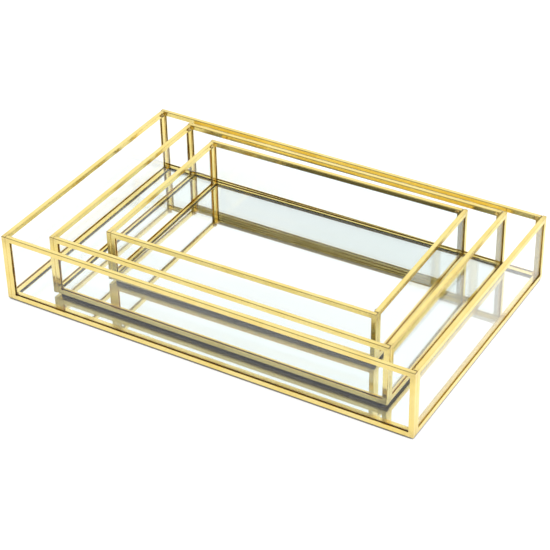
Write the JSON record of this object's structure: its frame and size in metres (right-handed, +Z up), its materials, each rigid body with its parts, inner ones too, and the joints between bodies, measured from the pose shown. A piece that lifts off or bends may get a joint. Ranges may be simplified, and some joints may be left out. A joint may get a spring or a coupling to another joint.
{
  "type": "vanity tray",
  "caption": "Nested set of rectangular vanity trays with clear glass walls in brass channel and mirrored floors on felt; the inner trays lift out.",
  "frame": {"origin": "middle of the large tray's felt base, on the surface that it stands on", "axes": "+X along the trays' length to the right, +Y to the back, +Z up out of the open tops"},
  "size_m": [0.358, 0.229, 0.059],
  "materials": {
    "polished_brass": "polished, light gold",
    "clear_glass": "clear, polished",
    "mirror_glass": "clear float glass with a faint green tint",
    "silvering": "silvered behind the glass",
    "dark_felt": "short dark grey felt"
  },
  "bodies": {
    "large_tray": {"large_front_top_rail": "polished_brass", "large_right_top_rail": "polished_brass", "large_back_top_rail": "polished_brass", "large_left_top_rail": "polished_brass", "large_front_bottom_rail": "polished_brass", "large_right_bottom_rail": "polished_brass", "large_back_bottom_rail": "polished_brass", "large_left_bottom_rail": "polished_brass", "large_front_right_post": "polished_brass", "large_back_right_post": "polished_brass", "large_back_left_post": "polished_brass", "large_front_left_post": "polished_brass", "large_front_pane": "clear_glass", "large_right_pane": "clear_glass", "large_back_pane": "clear_glass", "large_left_pane": "clear_glass", "large_floor_frame": "polished_brass", "large_mirror_glass": "mirror_glass", "large_mirror_silver": "silvering", "large_felt": "dark_felt"},
    "medium_tray": {"medium_front_top_rail": "polished_brass", "medium_right_top_rail": "polished_brass", "medium_back_top_rail": "polished_brass", "medium_left_top_rail": "polished_brass", "medium_front_bottom_rail": "polished_brass", "medium_right_bottom_rail": "polished_brass", "medium_back_bottom_rail": "polished_brass", "medium_left_bottom_rail": "polished_brass", "medium_front_right_post": "polished_brass", "medium_back_right_post": "polished_brass", "medium_back_left_post": "polished_brass", "medium_front_left_post": "polished_brass", "medium_front_pane": "clear_glass", "medium_right_pane": "clear_glass", "medium_back_pane": "clear_glass", "medium_left_pane": "clear_glass", "medium_floor_frame": "polished_brass", "medium_mirror_glass": "mirror_glass", "medium_mirror_silver": "silvering", "medium_felt": "dark_felt"},
    "small_tray": {"small_front_top_rail": "polished_brass", "small_right_top_rail": "polished_brass", "small_back_top_rail": "polished_brass", "small_left_top_rail": "polished_brass", "small_front_bottom_rail": "polished_brass", "small_right_bottom_rail": "polished_brass", "small_back_bottom_rail": "polished_brass", "small_left_bottom_rail": "polished_brass", "small_front_right_post": "polished_brass", "small_back_right_post": "polished_brass", "small_back_left_post": "polished_brass", "small_front_left_post": "polished_brass", "small_front_pane": "clear_glass", "small_right_pane": "clear_glass", "small_back_pane": "clear_glass", "small_left_pane": "clear_glass", "small_floor_frame": "polished_brass", "small_mirror_glass": "mirror_glass", "small_mirror_silver": "silvering", "small_felt": "dark_felt"}
  },
  "joints": [
    {"name": "medium_tray_lift", "type": "slide", "parent": "large_tray", "child": "medium_tray", "axis": [0, 0, 1], "range_m": [0, 0.075]},
    {"name": "small_tray_lift", "type": "slide", "parent": "medium_tray", "child": "small_tray", "axis": [0, 0, 1], "range_m": [0, 0.065]}
  ]
}
